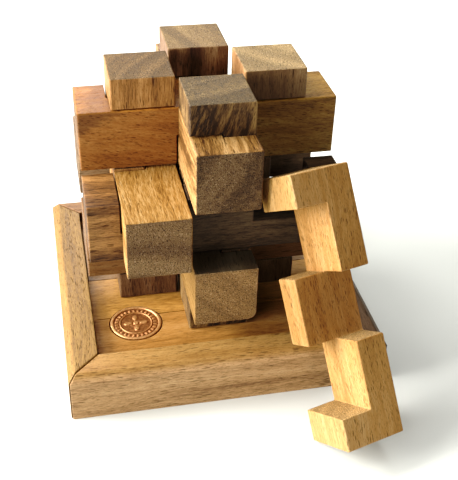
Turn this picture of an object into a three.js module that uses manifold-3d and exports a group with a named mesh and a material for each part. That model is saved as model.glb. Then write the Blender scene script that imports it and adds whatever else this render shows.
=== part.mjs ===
// A twelve-stick burr puzzle standing in a square wooden tray, with one stick taken out and leaning on its front.
// Millimetres, +Z up, +X to the right, +Y to the back. The origin is the centre of the tray's underside.
import * as THREE from "three";
import { mergeVertices } from "three/addons/utils/BufferGeometryUtils.js";
import Module from "manifold-3d";

const wasm = await Module();
wasm.setup();

// ---- driving dimensions ----
const PITCH = 20; // one notch width, and half the distance between parallel sticks
const STICK = 19.2; // side of a stick's square section
const STICK_LENGTH = 79.2; // end to end
const FLOOR_GAP = 0.2; // each half-lap floor stops this far short of the stick's middle
const NOTCH_WIDTH = 20; // along the stick: a crossing stick fits with 0.4 mm on each side

const TRAY = 99.6; // outer side of the square rim
const TRAY_HEIGHT = 16.6;
const RECESS = 80.4; // inner side of the rim: the whole burr fits inside it
const BEVEL_DROP = 2.5; // the rim's outer top edge: height and width of its bevel
const BEVEL_WIDTH = 2.1;
const MITRE_GAP = 0.3; // between two rails at a mitre
const FLOOR_TOP = 12.5; // top of the floor boards
const BOARD_GAP = 0.3;
const BOARD_SEAMS = [-18.9, 2.3, 21.4]; // where two floor boards meet, measured along Y

const PUZZLE_CENTRE = [-0.4, 0.5, 52.4]; // centre of the burr above the tray

const MEDALLION = { x: -26.5, y: -22.6, r: 8.3, depth: 1.8, gap: 0.3, proud: 0.3 };

// The stick that is out: the direction its side notches face, the direction its middle notch faces, its centre.
const LOOSE_SIDE = [-0.9554, -0.29392, 0.02864];
const LOOSE_MID = [0.26319, -0.8035, 0.53397];
const LOOSE_CENTRE = [26.49, -56.27, 39.06];

// ---- small helpers ----
function solid(geometry) {
  const g = geometry.clone();
  g.deleteAttribute("normal");
  g.deleteAttribute("uv");
  const m = mergeVertices(g, 1e-4);
  return new wasm.Manifold(
    new wasm.Mesh({
      numProp: 3,
      vertProperties: new Float32Array(m.attributes.position.array),
      triVerts: new Uint32Array(m.index.array),
    }),
  );
}

function geometryOf(manifold) {
  const mesh = manifold.getMesh();
  const n = mesh.numProp;
  const p = new Float32Array(mesh.numVert * 3);
  for (let i = 0; i < mesh.numVert; i++)
    p.set(mesh.vertProperties.subarray(i * n, i * n + 3), i * 3);
  const g = new THREE.BufferGeometry();
  g.setAttribute("position", new THREE.BufferAttribute(p, 3));
  g.setIndex(new THREE.BufferAttribute(new Uint32Array(mesh.triVerts), 1));
  const flat = g.toNonIndexed();
  flat.computeVertexNormals();
  return flat;
}

function box(lo, hi) {
  const g = new THREE.BoxGeometry(hi[0] - lo[0], hi[1] - lo[1], hi[2] - lo[2]);
  g.translate((lo[0] + hi[0]) / 2, (lo[1] + hi[1]) / 2, (lo[2] + hi[2]) / 2);
  return solid(g);
}

// A straight bar along +Z whose section is a polygon in XY.
function bar(points, z0, z1) {
  const shape = new THREE.Shape(points.map((p) => new THREE.Vector2(p[0], p[1])));
  const g = new THREE.ExtrudeGeometry(shape, { depth: z1 - z0, bevelEnabled: false });
  g.translate(0, 0, z0);
  return solid(g);
}

function material(color, roughness) {
  return new THREE.MeshStandardMaterial({ color, roughness, metalness: 0 });
}

const root = new THREE.Group();
root.name = "burr_puzzle_on_tray";

function add(parent, name, manifold, color, roughness = 0.55) {
  const mesh = new THREE.Mesh(geometryOf(manifold), material(color, roughness));
  mesh.name = name;
  parent.add(mesh);
  return mesh;
}

// ---- the stick ----
// Local frame: length along Z, side notches open towards +X, middle notch open towards +Y.
// Each notch is half the section deep, and the three lie end to end.
function stick({ worn = null } = {}) {
  const h = STICK / 2;
  const l = STICK_LENGTH / 2;
  let s = box([-h, -h, -l], [h, h, l]);
  const p = PITCH / 2;
  const w = NOTCH_WIDTH / 2;
  for (const c of [-2 * p, 2 * p])
    s = s.subtract(box([-FLOOR_GAP, -h - 1, c - w], [h + 1, h + 1, c + w]));
  s = s.subtract(box([-h - 1, -FLOOR_GAP, -w], [h + 1, h + 1, w]));
  if (worn) s = s.subtract(wornEdge(worn));
  return s;
}

// A corner rubbed round near one end: what lies outside an arc of radius r along the edge at (sx, sy).
function wornEdge({ sx, sy, end, length, radius }) {
  const h = STICK / 2;
  const cx = sx * (h - radius);
  const cy = sy * (h - radius);
  const points = [[sx * (h + 1), cy], [sx * (h + 1), sy * (h + 1)], [cx, sy * (h + 1)]];
  const a0 = Math.atan2(sy, 0);
  const a1 = Math.atan2(0, sx);
  let d = a1 - a0;
  if (d > Math.PI) d -= 2 * Math.PI;
  if (d < -Math.PI) d += 2 * Math.PI;
  for (let i = 0; i <= 6; i++) {
    const a = a0 + (d * i) / 6;
    points.push([cx + radius * Math.cos(a), cy + radius * Math.sin(a)]);
  }
  const area = points.reduce((t, q, i) => {
    const n = points[(i + 1) % points.length];
    return t + q[0] * n[1] - n[0] * q[1];
  }, 0);
  if (area < 0) points.reverse();
  const l = STICK_LENGTH / 2;
  return end > 0 ? bar(points, l - length, l + 1) : bar(points, -l - 1, -l + length);
}

const V = (a) => new THREE.Vector3(...a);
function place(mesh, side, mid, centre) {
  const x = V(side).normalize();
  const z = x.clone().cross(V(mid)).normalize();
  const y = z.clone().cross(x);
  mesh.setRotationFromMatrix(new THREE.Matrix4().makeBasis(x, y, z));
  mesh.position.set(...centre);
}

const burr = new THREE.Group();
burr.name = "burr";
burr.position.set(...PUZZLE_CENTRE);
root.add(burr);

// Each stick: the direction its side notches face, the direction its middle notch faces, its centre, and its colour.
// Sticks of one ring lock each other: where two cross, one's notch faces the other's.
const C = PITCH;
const STICKS = [
  ["upright_left", [0, -1, 0], [1, 0, 0], [-C, 0, 0], 0x9a7340],
  ["upright_right", [0, -1, 0], [1, 0, 0], [C, 0, 0], 0x7a5232],
  ["upright_front", [-1, 0, 0], [0, -1, 0], [0, -C, 0], 0x6b4c36],
  ["upright_back", [-1, 0, 0], [0, 1, 0], [0, C, 0], 0x8d6a48],
  ["cross_stick_top", [0, 1, 0], [0, 0, -1], [0, 0, C], 0xa4662f],
  ["cross_stick_bottom", [0, 1, 0], [0, 0, 1], [0, 0, -C], 0xa0642f],
  ["cross_stick_front", [0, 0, 1], [0, 1, 0], [0, -C, 0], 0x4b3423],
  ["cross_stick_back", [0, 0, 1], [0, -1, 0], [0, C, 0], 0x6a4526],
  ["through_stick_top", [1, 0, 0], [0, 0, 1], [0, 0, C], 0x8a6a45],
  ["through_stick_bottom", [1, 0, 0], [0, 0, -1], [0, 0, -C], 0xa27b4a],
  ["through_stick_left", [0, 0, -1], [-1, 0, 0], [-C, 0, 0], 0xc08a45],
];
for (const [name, side, mid, centre, color] of STICKS) {
  const worn =
    name === "through_stick_bottom" ? { sx: 1, sy: 1, end: -1, length: 9.4, radius: 2.6 } : null;
  const mesh = add(burr, name, stick({ worn }), color);
  place(mesh, side, mid, centre);
}

const loose = add(root, "loose_stick", stick(), 0xc79a4e);
place(loose, LOOSE_SIDE, LOOSE_MID, LOOSE_CENTRE);

// ---- the tray ----
// A rail is a bar with a bevelled outer top edge, cut to 45 degrees at both ends.
function rail() {
  const o = TRAY / 2;
  const i = RECESS / 2;
  const t = TRAY_HEIGHT;
  // section: u from the outside in, v up
  const shape = new THREE.Shape();
  shape.moveTo(-o, 0);
  shape.lineTo(-i, 0);
  shape.lineTo(-i, t);
  shape.lineTo(-o + BEVEL_WIDTH, t);
  shape.lineTo(-o, t - BEVEL_DROP);
  shape.closePath();
  const g = new THREE.ExtrudeGeometry(shape, { depth: TRAY, bevelEnabled: false });
  // section X -> Y, section Y -> Z, depth -> X
  g.translate(0, 0, -o);
  g.applyMatrix4(
    new THREE.Matrix4().makeBasis(V([0, 1, 0]), V([0, 0, 1]), V([1, 0, 0])),
  );
  let s = solid(g);
  // mitres: keep |x| < -y - gap
  const k = (MITRE_GAP / 2) * Math.SQRT2;
  for (const sx of [-1, 1]) {
    const wedge = new THREE.Shape([
      new THREE.Vector2(sx * (o + 30 - k), -o - 30),
      new THREE.Vector2(sx * (o + 60), -o - 30),
      new THREE.Vector2(sx * (o + 60), 30),
      new THREE.Vector2(sx * (-30 - k), 30),
    ]);
    const w = new THREE.ExtrudeGeometry(wedge, { depth: t + 4, bevelEnabled: false });
    w.translate(0, 0, -2);
    s = s.subtract(solid(w));
  }
  return s;
}
const rails = [
  ["rail_front", 0, 0xb98a52],
  ["rail_right", Math.PI / 2, 0xb07f48],
  ["rail_back", Math.PI, 0xb98a52],
  ["rail_left", -Math.PI / 2, 0x9b7350],
];
for (const [name, turn, color] of rails) {
  const mesh = add(root, name, rail(), color);
  mesh.rotation.z = turn;
}

// The floor: boards side by side inside the rim, flush with its underside.
const inner = RECESS / 2 - BOARD_GAP;
const seams = [-inner - BOARD_GAP / 2, ...BOARD_SEAMS, inner + BOARD_GAP / 2];
const boards = [
  ["floor_board_front", 0xc98f43],
  ["floor_board_middle_front", 0xcf9a4c],
  ["floor_board_middle_back", 0xc39052],
  ["floor_board_back", 0xc98f43],
];
boards.forEach(([name, color], n) => {
  let b = box(
    [-inner, seams[n] + BOARD_GAP / 2, 0],
    [inner, seams[n + 1] - BOARD_GAP / 2, FLOOR_TOP],
  );
  if (n < 2) {
    // the medallion's pocket, sunk across the joint of the two front boards
    const { x, y, r, gap, depth } = MEDALLION;
    const pocket = new THREE.CylinderGeometry(r + gap, r + gap, depth + 2, 64);
    pocket.rotateX(Math.PI / 2);
    pocket.translate(x, y, FLOOR_TOP - depth + (depth + 2) / 2);
    b = b.subtract(solid(pocket));
  }
  add(root, name, b, color);
});

// The medallion: a struck metal disc let into the boards, with a raised rim and a raised inner ring.
{
  const { x, y, r, depth, gap, proud } = MEDALLION;
  const z0 = FLOOR_TOP - depth + gap;
  const z1 = FLOOR_TOP + proud;
  const low = z1 - 0.4;
  const profile = [
    [0, z0], [r - 0.2, z0], [r, z0 + 0.2], [r, z1 - 0.2], [r - 0.2, z1], [r - 0.75, z1], [r - 0.95, low],
    [r * 0.62 + 0.45, low], [r * 0.62 + 0.3, z1 - 0.1], [r * 0.62, z1 - 0.1], [r * 0.62 - 0.15, low], [0, low],
  ].map((p) => new THREE.Vector2(p[0], p[1]));
  const g = new THREE.LatheGeometry(profile, 64);
  g.rotateX(Math.PI / 2); // the turning axis goes from Y to Z
  g.translate(x, y, 0);
  const mesh = add(root, "medallion", solid(g), 0xa8683f, 0.35);
  mesh.material.metalness = 0.9;
}

export default root;
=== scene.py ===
import math

import bpy
from mathutils import Matrix, Vector


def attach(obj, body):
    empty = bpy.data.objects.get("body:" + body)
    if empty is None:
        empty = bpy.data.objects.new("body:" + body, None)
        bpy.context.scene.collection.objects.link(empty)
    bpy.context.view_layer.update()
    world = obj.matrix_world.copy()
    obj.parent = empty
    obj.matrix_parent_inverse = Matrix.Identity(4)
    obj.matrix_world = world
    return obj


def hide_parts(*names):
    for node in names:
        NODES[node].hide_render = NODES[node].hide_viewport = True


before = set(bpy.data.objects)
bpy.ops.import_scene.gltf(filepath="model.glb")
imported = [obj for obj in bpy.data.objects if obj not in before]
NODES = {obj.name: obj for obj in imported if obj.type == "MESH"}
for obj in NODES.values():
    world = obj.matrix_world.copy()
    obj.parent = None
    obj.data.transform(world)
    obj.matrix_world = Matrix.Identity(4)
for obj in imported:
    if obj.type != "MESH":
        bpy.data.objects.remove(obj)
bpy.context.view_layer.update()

scene = bpy.context.scene
MM = 0.001

# ---------------------------------------------------------------- where things are (mm, part frame)
PUZZLE = Vector((-0.4, 0.5, 52.4))
PITCH = 20.0
STICK_AXES = {  # side notches open towards, middle notch opens towards, centre
    "upright_left": ((0, -1, 0), (1, 0, 0), (-PITCH, 0, 0)),
    "upright_right": ((0, -1, 0), (1, 0, 0), (PITCH, 0, 0)),
    "upright_front": ((-1, 0, 0), (0, -1, 0), (0, -PITCH, 0)),
    "upright_back": ((-1, 0, 0), (0, 1, 0), (0, PITCH, 0)),
    "cross_stick_top": ((0, 1, 0), (0, 0, -1), (0, 0, PITCH)),
    "cross_stick_bottom": ((0, 1, 0), (0, 0, 1), (0, 0, -PITCH)),
    "cross_stick_front": ((0, 0, 1), (0, 1, 0), (0, -PITCH, 0)),
    "cross_stick_back": ((0, 0, 1), (0, -1, 0), (0, PITCH, 0)),
    "through_stick_top": ((1, 0, 0), (0, 0, 1), (0, 0, PITCH)),
    "through_stick_bottom": ((1, 0, 0), (0, 0, -1), (0, 0, -PITCH)),
    "through_stick_left": ((0, 0, -1), (-1, 0, 0), (-PITCH, 0, 0)),
}
LOOSE = ((-0.9554, -0.29392, 0.02864), (0.26319, -0.8035, 0.53397), (26.49, -56.27, 39.06))
MEDAL = Vector((-26.5, -22.6, 12.5))
MEDAL_R = 8.3


def axes_of(side, mid):
    x = Vector(side).normalized()
    z = x.cross(Vector(mid)).normalized()
    return x, z.cross(x), z


def lin(c):
    c = c / 255.0
    return c / 12.92 if c <= 0.04045 else ((c + 0.055) / 1.055) ** 2.4


def rgb(r, g, b, k=1.0):
    return (lin(r) * k, lin(g) * k, lin(b) * k, 1.0)


# ---------------------------------------------------------------- node helpers
class Tree:
    def __init__(self, name):
        self.mat = bpy.data.materials.new(name)
        self.mat.use_nodes = True
        self.t = self.mat.node_tree
        self.t.nodes.clear()
        self.out = self.t.nodes.new("ShaderNodeOutputMaterial")
        self.bsdf = self.t.nodes.new("ShaderNodeBsdfPrincipled")
        self.t.links.new(self.bsdf.outputs[0], self.out.inputs[0])

    def put(self, value, socket):
        if isinstance(value, bpy.types.NodeSocket):
            self.t.links.new(value, socket)
        elif value is not None:
            socket.default_value = value

    def math(self, op, a, b=None, c=None, clamp=False):
        n = self.t.nodes.new("ShaderNodeMath")
        n.operation = op
        n.use_clamp = clamp
        self.put(a, n.inputs[0])
        if b is not None:
            self.put(b, n.inputs[1])
        if c is not None:
            self.put(c, n.inputs[2])
        return n.outputs[0]

    def vec(self, op, a, b=None):
        n = self.t.nodes.new("ShaderNodeVectorMath")
        n.operation = op
        self.put(a, n.inputs[0])
        if b is not None:
            self.put(b, n.inputs[3] if op == "SCALE" else n.inputs[1])
        return n.outputs["Value"] if op in ("DOT_PRODUCT", "LENGTH") else n.outputs[0]

    def xyz(self, x, y, z):
        n = self.t.nodes.new("ShaderNodeCombineXYZ")
        for s, v in zip(n.inputs, (x, y, z)):
            self.put(v, s)
        return n.outputs[0]

    def split(self, v):
        n = self.t.nodes.new("ShaderNodeSeparateXYZ")
        self.put(v, n.inputs[0])
        return n.outputs

    def noise(self, v, scale=1.0, detail=2.0, rough=0.5, dims="3D", distortion=0.0, colour=False):
        n = self.t.nodes.new("ShaderNodeTexNoise")
        n.noise_dimensions = dims
        self.put(v, n.inputs["W" if dims == "1D" else "Vector"])
        n.inputs["Scale"].default_value = scale
        n.inputs["Detail"].default_value = detail
        n.inputs["Roughness"].default_value = rough
        n.inputs["Distortion"].default_value = distortion
        return n.outputs["Color" if colour else "Fac"]

    def voronoi(self, v, scale=1.0, randomness=1.0, colour=False):
        n = self.t.nodes.new("ShaderNodeTexVoronoi")
        n.feature = "F1"
        self.put(v, n.inputs["Vector"])
        n.inputs["Scale"].default_value = scale
        n.inputs["Randomness"].default_value = randomness
        return (n.outputs["Distance"], n.outputs["Color"]) if colour else n.outputs["Distance"]

    def remap(self, x, a, b, c=0.0, d=1.0, smooth=False):
        n = self.t.nodes.new("ShaderNodeMapRange")
        n.interpolation_type = "SMOOTHSTEP" if smooth else "LINEAR"
        n.clamp = True
        self.put(x, n.inputs[0])
        for i, k in enumerate((a, b, c, d)):
            self.put(k, n.inputs[i + 1])
        return n.outputs[0]

    def ramp(self, fac, stops):
        n = self.t.nodes.new("ShaderNodeValToRGB")
        e = n.color_ramp.elements
        while len(e) < len(stops):
            e.new(0.5)
        for el, (p, c) in zip(e, stops):
            el.position = p
            el.color = c
        self.put(fac, n.inputs[0])
        return n.outputs[0]

    def mix(self, fac, a, b, mode="MIX"):
        n = self.t.nodes.new("ShaderNodeMix")
        n.data_type = "RGBA"
        n.blend_type = mode
        n.clamp_factor = True
        self.put(fac, n.inputs[0])
        self.put(a, n.inputs[6])
        self.put(b, n.inputs[7])
        return n.outputs[2]

    def hsv(self, colour, h=0.5, s=1.0, v=1.0):
        n = self.t.nodes.new("ShaderNodeHueSaturation")
        self.put(colour, n.inputs["Color"])
        self.put(h, n.inputs["Hue"])
        self.put(s, n.inputs["Saturation"])
        self.put(v, n.inputs["Value"])
        return n.outputs[0]

    def bump(self, height, distance, strength=1.0, normal=None):
        n = self.t.nodes.new("ShaderNodeBump")
        n.inputs["Strength"].default_value = strength
        n.inputs["Distance"].default_value = distance
        self.put(height, n.inputs["Height"])
        if normal is not None:
            self.put(normal, n.inputs["Normal"])
        return n.outputs[0]


# ---------------------------------------------------------------- wood
def wood(name, centre, axes, dark, mid, light, seed=0.0, pith=(55.0, 30.0), spacing=3.2, contrast=1.0,
         tilt=(0.0, 0.0), pores=0.85, pore_size=(0.58, 5.2), end=(0.80, 0.86), end_colour=None,
         streaks=(), rough=0.52, fibres=0.22, streaky=0.22, speckle=1.0, edge=0.42, painted_light_and_shade_bands=(), side_k=(1, 1, 1), end_k=(1, 1, 1)):
    """Solid wood, worked out in the piece's own frame: axes[2] runs along the grain."""
    t = Tree(name)
    tc = t.t.nodes.new("ShaderNodeTexCoord")
    p = t.vec("SCALE", tc.outputs["Object"], 1000.0)
    p = t.vec("SUBTRACT", p, tuple(centre))
    u = t.vec("DOT_PRODUCT", p, tuple(axes[0]))
    v = t.vec("DOT_PRODUCT", p, tuple(axes[1]))
    w = t.vec("DOT_PRODUCT", p, tuple(axes[2]))
    end_face = t.math("ABSOLUTE", t.vec("DOT_PRODUCT", tc.outputs["Normal"], tuple(axes[2])))
    end_face = t.remap(end_face, 0.72, 0.93, smooth=True)
    s = float(seed)
    place = t.xyz(u, v, w)

    # slow wander of the grain
    wander = t.noise(t.xyz(t.math("ADD", t.math("MULTIPLY", u, 0.020), s * 3.1), t.math("MULTIPLY", v, 0.020),
                           t.math("MULTIPLY", w, 0.014)), 1.0, 2.0, 0.5, colour=True)
    wx, wy, wz = t.split(wander)
    uu = t.math("ADD", u, t.math("MULTIPLY_ADD", wx, 9.0, -4.5))
    vv = t.math("ADD", v, t.math("MULTIPLY_ADD", wy, 9.0, -4.5))
    if tilt[0]:
        uu = t.math("MULTIPLY_ADD", w, tilt[0], uu)
    if tilt[1]:
        vv = t.math("MULTIPLY_ADD", w, tilt[1], vv)

    # growth zones: distance from a pith outside the piece
    r = t.vec("LENGTH", t.xyz(t.math("SUBTRACT", uu, pith[0]), t.math("SUBTRACT", vv, pith[1]), 0.0))
    zones = t.noise(t.math("MULTIPLY_ADD", r, 0.5 / spacing, s * 7.7), 1.0, 2.0, 0.5, dims="1D")
    zones = t.remap(zones, 0.30, 0.70)
    lines = t.math("FRACT", t.math("MULTIPLY_ADD", r, 1.7 / spacing, t.math("MULTIPLY", wz, 2.0)))
    lines = t.math("POWER", lines, 3.0)

    # long streaks and fine fibres
    streak = t.noise(t.xyz(t.math("MULTIPLY_ADD", uu, 0.60, s), t.math("MULTIPLY", vv, 0.60),
                           t.math("MULTIPLY", w, 0.030)), 1.0, 4.0, 0.62)
    streak = t.remap(streak, 0.30, 0.70)
    fibre = t.noise(t.xyz(t.math("MULTIPLY", uu, 2.6), t.math("MULTIPLY_ADD", vv, 2.6, s),
                          t.math("MULTIPLY", w, 0.30)), 1.0, 3.0, 0.65)
    fibre = t.remap(fibre, 0.32, 0.68)
    blotch = t.noise(t.xyz(t.math("MULTIPLY_ADD", u, 0.07, s * 1.7), t.math("MULTIPLY", v, 0.07),
                           t.math("MULTIPLY", w, 0.025)), 1.0, 2.0, 0.5)
    blotch = t.remap(blotch, 0.3, 0.7)

    tone = t.math("MULTIPLY", zones, 0.34)
    tone = t.math("MULTIPLY_ADD", t.math("SUBTRACT", streak, 0.5), streaky, t.math("ADD", tone, 0.11))
    tone = t.math("MULTIPLY_ADD", blotch, 0.44 - fibres, tone)
    tone = t.math("MULTIPLY_ADD", fibre, fibres, tone)
    tone = t.math("MULTIPLY_ADD", lines, -0.08, tone)
    tone = t.math("MULTIPLY_ADD", t.math("SUBTRACT", tone, 0.48), contrast, 0.5, clamp=True)
    colour = t.ramp(tone, [(0.08, dark), (0.50, mid), (0.92, light)])

    # darker heartwood stripes: (direction in the section, offset, half width, strength, slope along the grain)
    for k, (angle, offset, width, strength, slope, tint) in enumerate(streaks):
        d = t.math("ADD", t.math("MULTIPLY", uu, math.cos(math.radians(angle))),
                   t.math("MULTIPLY", vv, math.sin(math.radians(angle))))
        d = t.math("MULTIPLY_ADD", w, slope, d)
        d = t.math("ADD", d, t.math("MULTIPLY_ADD", streak, 2.4, -1.2 - offset))
        m = t.remap(t.math("ABSOLUTE", d), width, width * 0.35, 0.0, strength, smooth=True)
        colour = t.mix(m, colour, tint)

    # pores: short vessels lying along the grain; dots where the grain is cut across
    pu, pl = pore_size
    pd, pc = t.voronoi(t.xyz(t.math("MULTIPLY_ADD", uu, 1.0 / pu, s * 5.0), t.math("MULTIPLY", vv, 1.0 / pu),
                             t.math("MULTIPLY", w, 1.0 / pl)), 1.0, 1.0, colour=True)
    pr, pg, pb = t.split(pc)
    size = t.remap(pr, 0.15, 1.0, 0.16, 0.46)
    pore = t.remap(pd, size, t.math("MULTIPLY", size, 0.55), 0.0, 1.0, smooth=True)
    # they gather in drifts
    cut = t.noise(t.xyz(t.math("MULTIPLY", u, 0.45), t.math("MULTIPLY", v, 0.45), t.math("MULTIPLY_ADD", w, 0.16, s)), 1.0, 2.0, 0.5)
    pore = t.math("MULTIPLY", pore, t.remap(cut, 0.36, 0.56, 0.30, 1.0, smooth=True))
    # hair-fine vessels between them
    hd = t.voronoi(t.xyz(t.math("MULTIPLY", u, 2.5), t.math("MULTIPLY_ADD", v, 2.5, s * 3.0), t.math("MULTIPLY", w, 0.80)), 1.0, 1.0)
    hair = t.remap(hd, 0.34, 0.20, 0.0, 1.0, smooth=True)
    deep = t.hsv(colour, 0.497, 1.08, 0.30)
    colour = t.mix(t.math("MULTIPLY", hair, pores * 0.48), colour, deep)
    colour = t.mix(t.math("MULTIPLY", pore, pores), colour, deep)
    # colour multipliers over a band of one local axis: (direction, from, to, colour). Most bands paint light and shade
    # into the colour: lit faces made lighter, shadowed parts made darker.
    for k, lo, hi, tint in painted_light_and_shade_bands:
        colour = t.mix(t.remap((u, v, w)[k], lo, hi, 0.0, 1.0, smooth=True), colour,
                       t.mix(1.0, colour, (*tint, 1.0), "MULTIPLY"))
    colour = t.mix(1.0, colour, (*side_k, 1.0), "MULTIPLY")

    # end grain: greyer, darker and speckled
    speck = t.noise(place, 2.6, 2.0, 0.8)
    speck = t.remap(speck, 0.42, 0.60)
    dots, dc = t.voronoi(t.xyz(u, v, t.math("MULTIPLY", w, 0.3)), 1.0 / 0.58, 1.0, colour=True)
    dr, dg, db = t.split(dc)
    dot = t.remap(dots, t.remap(dr, 0.1, 1.0, 0.20, 0.52), 0.16, 0.0, 1.0, smooth=True)
    pale = t.remap(t.voronoi(t.xyz(t.math("ADD", u, 31.7), v, w), 1.0 / 0.9, 1.0), 0.34, 0.12, 0.0, 1.0, smooth=True)
    base_end = t.mix(0.55, colour, end_colour) if end_colour else t.hsv(colour, 0.5, end[1], end[0])
    band = t.math("MULTIPLY_ADD", zones, 0.62, t.math("MULTIPLY", streak, 0.20))
    base_end = t.hsv(base_end, 0.5, 1.0, t.remap(band, 0.10, 0.72, 0.82, 1.14, smooth=True))
    base_end = t.mix(t.math("MULTIPLY", speck, 0.80 * speckle), base_end, t.hsv(base_end, 0.5, 0.92, 2.1))
    base_end = t.mix(t.math("MULTIPLY", pale, 0.55 * speckle), base_end, t.hsv(base_end, 0.5, 0.85, 1.9))
    base_end = t.mix(t.math("MULTIPLY", dot, 0.95 * speckle), base_end, t.hsv(base_end, 0.5, 1.0, 0.18))
    base_end = t.mix(1.0, base_end, (*end_k, 1.0), "MULTIPLY")
    colour = t.mix(end_face, colour, base_end)

    # edges painted a little lighter: rubbed wear together with a painted highlight where the edges catch the light
    bev = t.t.nodes.new("ShaderNodeBevel")
    bev.samples = 4
    bev.inputs["Radius"].default_value = 0.00055
    geo = t.t.nodes.new("ShaderNodeNewGeometry")
    edge_wear_and_highlight_mask = t.vec("DOT_PRODUCT", bev.outputs[0], geo.outputs["True Normal"])
    edge_wear_and_highlight_mask = t.remap(edge_wear_and_highlight_mask, 0.985, 0.80, 0.0, 1.0)
    scuff = t.noise(place, 0.35, 3.0, 0.6)
    edge_wear_and_highlight_mask = t.math("MULTIPLY", edge_wear_and_highlight_mask, t.remap(scuff, 0.35, 0.62, 0.15, 1.0))
    colour = t.mix(t.math("MULTIPLY", edge_wear_and_highlight_mask, edge), colour, t.hsv(colour, 0.5, 0.92, 1.75))
    t.put(colour, t.bsdf.inputs["Base Color"])

    # finish: satin oil, drier in the pores and on the end grain
    ro = t.math("MULTIPLY_ADD", streak, 0.10, rough - 0.05)
    ro = t.math("MULTIPLY_ADD", pore, 0.22, ro)
    ro = t.math("MULTIPLY_ADD", end_face, 0.17, ro)
    ro = t.math("MULTIPLY_ADD", edge_wear_and_highlight_mask, -0.08, ro, clamp=True)
    t.put(ro, t.bsdf.inputs["Roughness"])
    t.bsdf.inputs["Specular IOR Level"].default_value = 0.16

    # relief: sunk pores, raised fibres, and saw lines across the end grain
    h = t.math("MULTIPLY", pore, -1.0)
    h = t.math("MULTIPLY_ADD", fibre, 0.40, h)
    saw = t.math("SINE", t.math("MULTIPLY_ADD", t.math("ADD", u, t.math("MULTIPLY", v, 0.22)), 6.1,
                                t.math("MULTIPLY", t.math("ADD", speck, wx), 7.0)))
    he = t.math("MULTIPLY_ADD", dot, -1.0, t.math("MULTIPLY_ADD", saw, 0.08, t.math("MULTIPLY", speck, 0.9)))
    n = t.t.nodes.new("ShaderNodeMix")
    n.data_type = "FLOAT"
    t.put(end_face, n.inputs[0])
    t.put(h, n.inputs[2])
    t.put(he, n.inputs[3])
    t.put(t.bump(n.outputs[0], 0.00013, 0.8), t.bsdf.inputs["Normal"])
    return t.mat


# ---------------------------------------------------------------- palettes (dark, mid, light)
TAN = (rgb(96, 62, 30), rgb(158, 112, 64), rgb(196, 150, 98))
GOLD = (rgb(132, 84, 34), rgb(190, 134, 66), rgb(222, 172, 104))
ORANGE = (rgb(98, 54, 22), rgb(162, 98, 44), rgb(196, 132, 70))
BROWN = (rgb(62, 38, 22), rgb(116, 78, 48), rgb(158, 114, 76))
DARK = (rgb(44, 28, 18), rgb(92, 64, 42), rgb(134, 98, 66))

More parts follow.
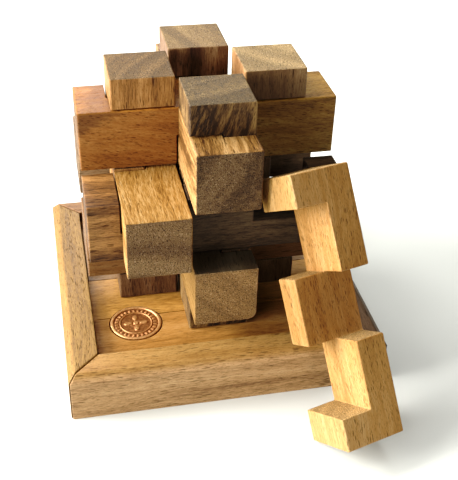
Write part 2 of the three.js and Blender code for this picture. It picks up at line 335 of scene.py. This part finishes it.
LOOKS = {
    # upright_left: its band darkens the foot, from -16 to -28 mm along the grain, a painted shadow.
    "upright_left": dict(painted_light_and_shade_bands=((2, -16.0, -28.0, (0.50, 0.56, 0.85)),), pal=TAN, seed=1.0, pith=(40, 62), spacing=3.6, contrast=1.25, pores=0.95, pore_size=(0.55, 4.6), fibres=0.30,
                         end_colour=rgb(132, 106, 78)),
    # upright_right: its band makes the left face lighter, painted light from the lamps on the left.
    "upright_right": dict(painted_light_and_shade_bands=((1, -8.9, -9.3, (1.75, 1.60, 1.40)),), pal=(rgb(104, 68, 36), rgb(150, 108, 66), rgb(198, 152, 100)), seed=2.3, pith=(-52, 48), spacing=4.4,
                          contrast=1.1, end_colour=rgb(178, 140, 96)),
    "upright_front": dict(pal=(rgb(48, 32, 22), rgb(104, 76, 50), rgb(146, 112, 74)), seed=3.1, pith=(30, -58), spacing=3.9,
                          contrast=1.6, streaky=0.55, tilt=(0.30, 0.18), pore_size=(0.50, 3.6), end_colour=rgb(118, 94, 72),
                          streaks=((35, 1.5, 3.0, 0.62, 0.02, rgb(52, 38, 30)), (90, -8.2, 1.6, 0.5, 0.0, rgb(150, 108, 62)))),
    "upright_back": dict(pal=(rgb(58, 34, 20), rgb(108, 70, 42), rgb(160, 118, 80)), seed=4.7, pith=(-66, 24), spacing=4.2,
                         contrast=1.4, pore_size=(0.48, 4.0), end_colour=rgb(150, 118, 88),
                         streaks=((0, 0.5, 3.4, 0.45, 0.0, rgb(76, 46, 28)),)),
    # cross_stick_top: its bands make the right end paler and the top face lighter, painted light.
    "cross_stick_top": dict(painted_light_and_shade_bands=((2, 2.0, -6.0, (1.08, 1.45, 1.5)), (1, -8.9, -9.3, (1.45, 1.42, 0.95))), streaks=((90, -22.8, 4.5, 0.60, -0.615, rgb(98, 58, 28)),), pal=ORANGE, seed=5.2, pith=(58, -36), spacing=5.2, contrast=1.25, pores=0.80, fibres=0.26,
                            end_colour=rgb(150, 112, 72), pore_size=(0.44, 2.6), tilt=(0.10, 0.16)),
    "cross_stick_bottom": dict(pal=ORANGE, seed=6.4, pith=(-44, 52), spacing=3.4, contrast=1.0,
                               end_colour=rgb(150, 112, 72)),
    # cross_stick_front: its bands darken the right part, a painted shadow, and make the top face lighter, painted
    # light.
    "cross_stick_front": dict(painted_light_and_shade_bands=((2, 27.0, 15.0, (0.36, 0.47, 0.74)), (0, 8.9, 9.3, (1.42, 1.35, 1.20))), pal=(rgb(54, 34, 22), rgb(110, 74, 44), rgb(162, 116, 72)), seed=7.9, pith=(36, 60), spacing=3.4,
                              contrast=1.35, pores=0.95, streaky=0.32, fibres=0.32, pore_size=(0.50, 4.2), end_colour=rgb(128, 92, 58)),
    "cross_stick_back": dict(pal=BROWN, seed=8.3, pith=(62, 22), spacing=3.7, contrast=1.0,
                             end_colour=rgb(130, 98, 66)),
    "through_stick_top": dict(pal=TAN, seed=9.6, pith=(-60, 34), spacing=5.0, contrast=1.6, streaky=0.60, fibres=0.34, pores=0.95,
                              end_colour=rgb(122, 92, 60)),
    # through_stick_bottom: its bands darken the top face, a painted shadow from the stick above, and make the left face
    # lighter, painted light.
    "through_stick_bottom": dict(painted_light_and_shade_bands=((1, -8.9, -9.3, (0.48, 0.60, 0.95)), (0, -8.9, -9.3, (1.45, 1.30, 1.05))), pal=(rgb(112, 72, 34), rgb(172, 126, 72), rgb(206, 160, 100)), seed=10.2, pith=(48, -50),
                                 spacing=4.1, contrast=0.95, end_colour=rgb(146, 112, 70)),
    "through_stick_left": dict(pal=GOLD, seed=11.5, pith=(70, 12), spacing=3.2, contrast=1.45, pores=0.60, fibres=0.50, streaky=0.30, pore_size=(0.40, 3.4),
                               end_colour=rgb(134, 102, 68)),
    # loose_stick: its bands make the left face a touch paler, painted light; darken the middle, partly wood tone and
    # partly painted shade; and lift the lower end again, lighter and bluer.
    "loose_stick": dict(painted_light_and_shade_bands=((0, 8.9, 9.3, (0.94, 1.04, 1.13)), (2, 13.0, 7.0, (0.90, 0.78, 0.66)), (2, -7.0, -13.0, (1.26, 1.52, 1.85))), pal=(rgb(150, 98, 42), rgb(198, 146, 78), rgb(228, 182, 116)), seed=12.8, pith=(52, -46), spacing=4.6,
                        contrast=1.0, pores=0.88, fibres=0.26, pore_size=(0.42, 2.8), end_colour=rgb(186, 146, 88)),
}
RAILS = {
    "rail_front": dict(pal=(rgb(112, 74, 48), rgb(176, 132, 92), rgb(206, 164, 122)), seed=21.4, pith=(34, 52), spacing=4.0,
                       contrast=1.15, fibres=0.34, pore_size=(0.46, 4.2),
                       # rail_front: its band makes the outer front face paler and bluer, painted light on that face.
                       painted_light_and_shade_bands=((0, -3.2, -4.7, (1.40, 1.62, 2.45)),)),
    "rail_right": dict(pal=(rgb(112, 70, 36), rgb(178, 128, 76), rgb(208, 158, 104)), seed=22.2, pith=(-40, 46), spacing=3.4,
                       contrast=1.0),
    "rail_back": dict(pal=(rgb(112, 74, 42), rgb(172, 124, 78), rgb(204, 158, 108)), seed=23.7, pith=(44, -50), spacing=3.0,
                      contrast=1.0),
    "rail_left": dict(pal=(rgb(120, 84, 52), rgb(182, 136, 90), rgb(212, 168, 120)), seed=24.9, pith=(52, 30), spacing=3.3,
                      contrast=1.0, fibres=0.34, pore_size=(0.42, 3.2)),
}
BOARDS = {
    "floor_board_front": dict(pores=0.45, pore_size=(0.42, 3.6), fibres=0.30, pal=(rgb(140, 88, 34), rgb(194, 134, 66), rgb(220, 166, 98)), seed=31.2, pith=(12, 60), spacing=5.0),
    "floor_board_middle_front": dict(pores=0.45, pore_size=(0.42, 3.6), fibres=0.30, pal=(rgb(140, 90, 38), rgb(196, 138, 70), rgb(222, 170, 102)), seed=32.6, pith=(-8, 70), spacing=5.6),
    "floor_board_middle_back": dict(pores=0.6, pore_size=(0.46, 3.6), fibres=0.30, pal=(rgb(120, 82, 44), rgb(172, 128, 80), rgb(200, 156, 104)), seed=33.1, pith=(16, -58), spacing=4.4),
    "floor_board_back": dict(pores=0.5, pore_size=(0.44, 3.6), fibres=0.30, pal=(rgb(136, 88, 38), rgb(188, 132, 68), rgb(214, 162, 96)), seed=34.8, pith=(6, 64), spacing=5.2),
}


# colour balance of each piece: long faces, end grain
# GAINS-START
GAINS = {
    "cross_stick_back": ((0.707, 0.961, 1.229), (0.372, 0.372, 0.372)),
    "cross_stick_bottom": ((0.386, 0.52, 0.849), (0.372, 0.372, 0.372)),
    "cross_stick_front": ((0.669, 0.705, 0.663), (0.372, 0.372, 0.372)),
    "cross_stick_top": ((0.499, 0.554, 0.614), (0.372, 0.372, 0.372)),
    "floor_board_front": ((0.64, 0.676, 0.765), (0.372, 0.372, 0.372)),
    "floor_board_middle_front": ((0.905, 1.004, 1.059), (0.372, 0.372, 0.372)),
    "loose_stick": ((0.493, 0.476, 0.507), (0.515, 0.517, 0.47)),
    "rail_front": ((0.53, 0.499, 0.305), (0.372, 0.372, 0.372)),
    "rail_left": ((0.409, 0.411, 0.255), (0.372, 0.372, 0.372)),
    # rail_right's scale was fitted on a face lying in shadow, so part of that shade is painted into the whole rail's
    # colour.
    "rail_right": ((0.222, 0.263, 0.391), (0.372, 0.372, 0.372)),
    "through_stick_bottom": ((0.306, 0.356, 0.397), (0.607, 0.575, 0.545)),
    "through_stick_left": ((0.51, 0.544, 0.579), (0.35, 0.361, 0.392)),
    "through_stick_top": ((0.634, 0.659, 0.608), (0.289, 0.301, 0.327)),
    "upright_back": ((0.773, 0.917, 1.028), (0.545, 0.568, 0.427)),
    "upright_front": ((0.724, 0.761, 0.652), (0.508, 0.529, 0.398)),
    "upright_left": ((0.621, 0.597, 0.559), (0.39, 0.386, 0.295)),
    "upright_right": ((0.438, 0.495, 0.591), (0.526, 0.571, 0.499)),
}
# GAINS-END


def dress(node, mat, bevel):
    o = NODES[node]
    o.data.materials.clear()
    o.data.materials.append(mat)
    weld = o.modifiers.new("weld", "WELD")
    weld.merge_threshold = 0.00001
    b = o.modifiers.new("eased_edges", "BEVEL")
    b.width = bevel
    b.segments = 3
    b.limit_method = "ANGLE"
    b.angle_limit = math.radians(28)
    b.use_clamp_overlap = True
    b.miter_outer = "MITER_ARC"


for name, look in LOOKS.items():
    side, mid, c = STICK_AXES[name] if name in STICK_AXES else LOOSE
    centre = PUZZLE + Vector(c) if name in STICK_AXES else Vector(c)
    kw = dict(look)
    d, m, l = kw.pop("pal")
    kw["side_k"], kw["end_k"] = GAINS.get(name, ((0.45, 0.45, 0.45), (0.45, 0.45, 0.45)))
    dress(name, wood("wood_" + name, centre, axes_of(side, mid), d, m, l, **kw), 0.00042)

X, Y, Z = Vector((1, 0, 0)), Vector((0, 1, 0)), Vector((0, 0, 1))
for name, look in RAILS.items():
    along_x = name in ("rail_front", "rail_back")
    axes = (Y, Z, X) if along_x else (-X, Z, Y)
    off = {"rail_front": (0, -45, 8), "rail_back": (0, 45, 8), "rail_left": (-45, 0, 8), "rail_right": (45, 0, 8)}[name]
    kw = dict(look)
    d, m, l = kw.pop("pal")
    kw["side_k"], kw["end_k"] = GAINS.get(name, ((0.45, 0.45, 0.45), (0.45, 0.45, 0.45)))
    dress(name, wood("wood_" + name, Vector(off), axes, d, m, l, **kw), 0.00045)
for name, look in BOARDS.items():
    kw = dict(look)
    d, m, l = kw.pop("pal")
    kw["side_k"], kw["end_k"] = GAINS.get(name, ((0.45, 0.45, 0.45), (0.45, 0.45, 0.45)))
    dress(name, wood("wood_" + name, Vector((0, 0, 6)), (Y, Z, X), d, m, l, **kw), 0.00022)


# ---------------------------------------------------------------- medallion: a struck disc with a plain rosette
def medallion():
    def step(x, a, b):
        k = min(1.0, max(0.0, (x - a) / (b - a)))
        return k * k * (3 - 2 * k)

    def height(r, th):
        low = 0.0
        rim = step(r, 7.15, 7.45) * 0.42
        ring = math.exp(-(((r - 5.15) / 0.24) ** 2)) * 0.30
        band = 0.0
        if 5.3 < r < 7.2:
            lobe = abs(math.cos(14 * th)) ** 2.2
            band = 0.26 * lobe * step(r, 5.55, 5.85) * (1 - step(r, 6.65, 6.98))
        rose = 0.0
        if r < 4.7:
            petal = max(0.0, math.cos(4 * th)) ** 0.8
            reach = 2.4 + 1.7 * petal
            rose = 0.30 * (1 - step(r, reach - 0.55, reach)) * step(r, 1.0, 1.5) * (0.35 + 0.65 * petal)
            rose += 0.34 * (1 - step(r, 0.70, 1.0))
        return low + max(rim, ring, band, rose)

    nr, nt = 86, 224
    base = 12.5 - 1.8 + 0.32
    floor_z = 12.5 + 0.3 - 0.42
    verts, faces = [], []
    rs = [MEDAL_R * 0.985 * (i / nr) for i in range(1, nr + 1)]
    verts.append((MEDAL.x, MEDAL.y, floor_z + height(0, 0)))
    for r in rs:
        for j in range(nt):
            th = 2 * math.pi * j / nt
            z = floor_z + height(r, th)
            if r > 7.9:
                z -= 0.10 * step(r, 7.9, 8.18)
            verts.append((MEDAL.x + r * math.cos(th), MEDAL.y + r * math.sin(th), z))
    for j in range(nt):
        faces.append((0, 1 + j, 1 + (j + 1) % nt))
    for i in range(nr - 1):
        a = 1 + i * nt
        b = a + nt
        for j in range(nt):
            k = (j + 1) % nt
            faces.append((a + j, b + j, b + k, a + k))
    edge = 1 + (nr - 1) * nt
    # side and underside
    rows = [(8.27, 12.62), (8.29, 12.40), (8.29, base + 0.2), (8.1, base)]
    last = edge
    for r, z in rows:
        start = len(verts)
        for j in range(nt):
            th = 2 * math.pi * j / nt
            verts.append((MEDAL.x + r * math.cos(th), MEDAL.y + r * math.sin(th), z))
        for j in range(nt):
            k = (j + 1) % nt
            faces.append((last + j, start + j, start + k, last + k))
        last = start
    faces.append(tuple(last + j for j in reversed(range(nt))))
    me = bpy.data.meshes.new("medallion_relief")
    me.from_pydata([(x * MM, y * MM, z * MM) for x, y, z in verts], [], faces)
    me.update()
    me.polygons.foreach_set("use_smooth", [len(p.vertices) < 10 for p in me.polygons])
    o = bpy.data.objects.new("medallion_relief", me)
    scene.collection.objects.link(o)

    t = Tree("struck_bronze")
    tc = t.t.nodes.new("ShaderNodeTexCoord")
    p = t.vec("SCALE", tc.outputs["Object"], 1000.0)
    x, y, z = t.split(p)
    level = t.remap(z, 12.40, 12.78, 0.0, 1.0, smooth=True)
    grime = t.noise(p, 1.4, 4.0, 0.65)
    grime = t.remap(grime, 0.35, 0.65)
    tone = t.math("MULTIPLY_ADD", grime, 0.35, t.math("MULTIPLY", level, 0.65), clamp=True)
    colour = t.ramp(tone, [(0.05, rgb(118, 72, 38)), (0.45, rgb(168, 112, 64)), (0.95, rgb(220, 168, 110))])
    t.put(colour, t.bsdf.inputs["Base Color"])
    t.bsdf.inputs["Metallic"].default_value = 0.6
    fine = t.noise(p, 9.0, 2.0, 0.6)
    t.put(t.math("MULTIPLY_ADD", level, -0.16, t.math("MULTIPLY_ADD", fine, 0.18, 0.42)), t.bsdf.inputs["Roughness"])
    t.put(t.bump(fine, 0.00003, 0.5), t.bsdf.inputs["Normal"])
    me.materials.append(t.mat)
    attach(o, "tray")
    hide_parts("medallion")
    return o


medallion()

# ---------------------------------------------------------------- table, light, camera
bpy.ops.mesh.primitive_plane_add(size=6.0, location=(0.6, 0.8, 0.0))
table = bpy.context.object
table.name = "table_top"
t = Tree("white_table")
tc = t.t.nodes.new("ShaderNodeTexCoord")
grain = t.noise(tc.outputs["Object"], 900.0, 2.0, 0.6)
cloud = t.noise(tc.outputs["Object"], 6.0, 2.0, 0.5)
t.put(t.ramp(cloud, [(0.3, (0.575, 0.585, 0.535, 1)), (0.7, (0.605, 0.611, 0.563, 1))]), t.bsdf.inputs["Base Color"])
t.put(t.math("MULTIPLY_ADD", grain, 0.2, 0.50), t.bsdf.inputs["Roughness"])
t.bsdf.inputs["Specular IOR Level"].default_value = 0.25
t.put(t.bump(grain, 0.00002, 0.2), t.bsdf.inputs["Normal"])
table.data.materials.append(t.mat)

world = bpy.data.worlds.new("studio")
scene.world = world
world.use_nodes = True
bg = world.node_tree.nodes["Background"]
bg.inputs[0].default_value = (1.0, 1.0, 1.0, 1.0)
bg.inputs[1].default_value = 0.120


def area(name, location, target, size, power, colour=(1, 1, 1)):
    d = bpy.data.lights.new(name, "AREA")
    d.shape = "RECTANGLE"
    d.size, d.size_y = size
    d.energy = power
    d.color = colour
    o = bpy.data.objects.new(name, d)
    scene.collection.objects.link(o)
    o.location = location
    o.rotation_mode = "QUATERNION"
    o.rotation_quaternion = (Vector(target) - Vector(location)).to_track_quat("-Z", "Y")
    return o


# A tall window on the left, reaching a little behind the object, with soft light from above.
PANEL_DISTANCE, PANEL_SIZE = 1.2, 0.42
# PANELS-START
PANELS = [  # azimuth from +X towards +Y, elevation, strength
    (170, 12, 1.142),
    (190, 12, 1.336),
    (215, 12, 0.68),
    (90, 32, 0.648),
    (110, 32, 0.284),
    (145, 32, 0.113),
    (170, 32, 1.28),
    (190, 32, 0.674),
    (290, 32, 0.173),
    (110, 52, 0.198),
    (145, 52, 0.638),
    (0, 72, 0.194),
    (270, 72, 0.029),
]
# PANELS-END
for azimuth, elevation, strength in PANELS:
    ca, ce = math.radians(azimuth), math.radians(elevation)
    way = Vector((math.cos(ca) * math.cos(ce), math.sin(ca) * math.cos(ce), math.sin(ce)))
    panel = area("panel_%d_%d" % (azimuth, elevation), way * PANEL_DISTANCE + Vector((0, 0, 0.04)), (0, 0, 0.04),
                 (PANEL_SIZE, PANEL_SIZE), strength * math.pi * math.pi * PANEL_DISTANCE ** 2)
    panel.data.shape = "DISK"

cam = bpy.data.cameras.new("camera")
cam.lens = 68.014
cam.sensor_width = 36.0
cam.sensor_height = 36.0
cam.sensor_fit = "AUTO"
cam.clip_start = 0.01
cam.clip_end = 30.0
camera = bpy.data.objects.new("camera", cam)
scene.collection.objects.link(camera)
right = Vector((0.9787466, -0.20351792, 0.02521003))
up = Vector((0.09527521, 0.56012697, 0.82290973))
fwd = Vector((0.18159769, 0.80301821, -0.56761258))
m = Matrix((right, up, -fwd)).transposed().to_4x4()
m.translation = Vector((-0.0478818, -0.2502469, 0.2026151))
camera.matrix_world = m
scene.camera = camera

scene.view_settings.view_transform = "Standard"
scene.view_settings.look = "None"
scene.view_settings.exposure = 0.0
scene.view_settings.gamma = 1.0
scene.view_settings.use_curve_mapping = True
curve = scene.view_settings.curve_mapping
line = curve.curves[3]
line.points[0].location = (0.0, 0.0)
line.points[1].location = (1.0, 1.0)
for at, to in ((0.03, 0.018), (0.07, 0.057), (0.15, 0.148)):
    line.points.new(at, to)
for point in line.points:
    point.handle_type = "AUTO_CLAMPED"
curve.update()
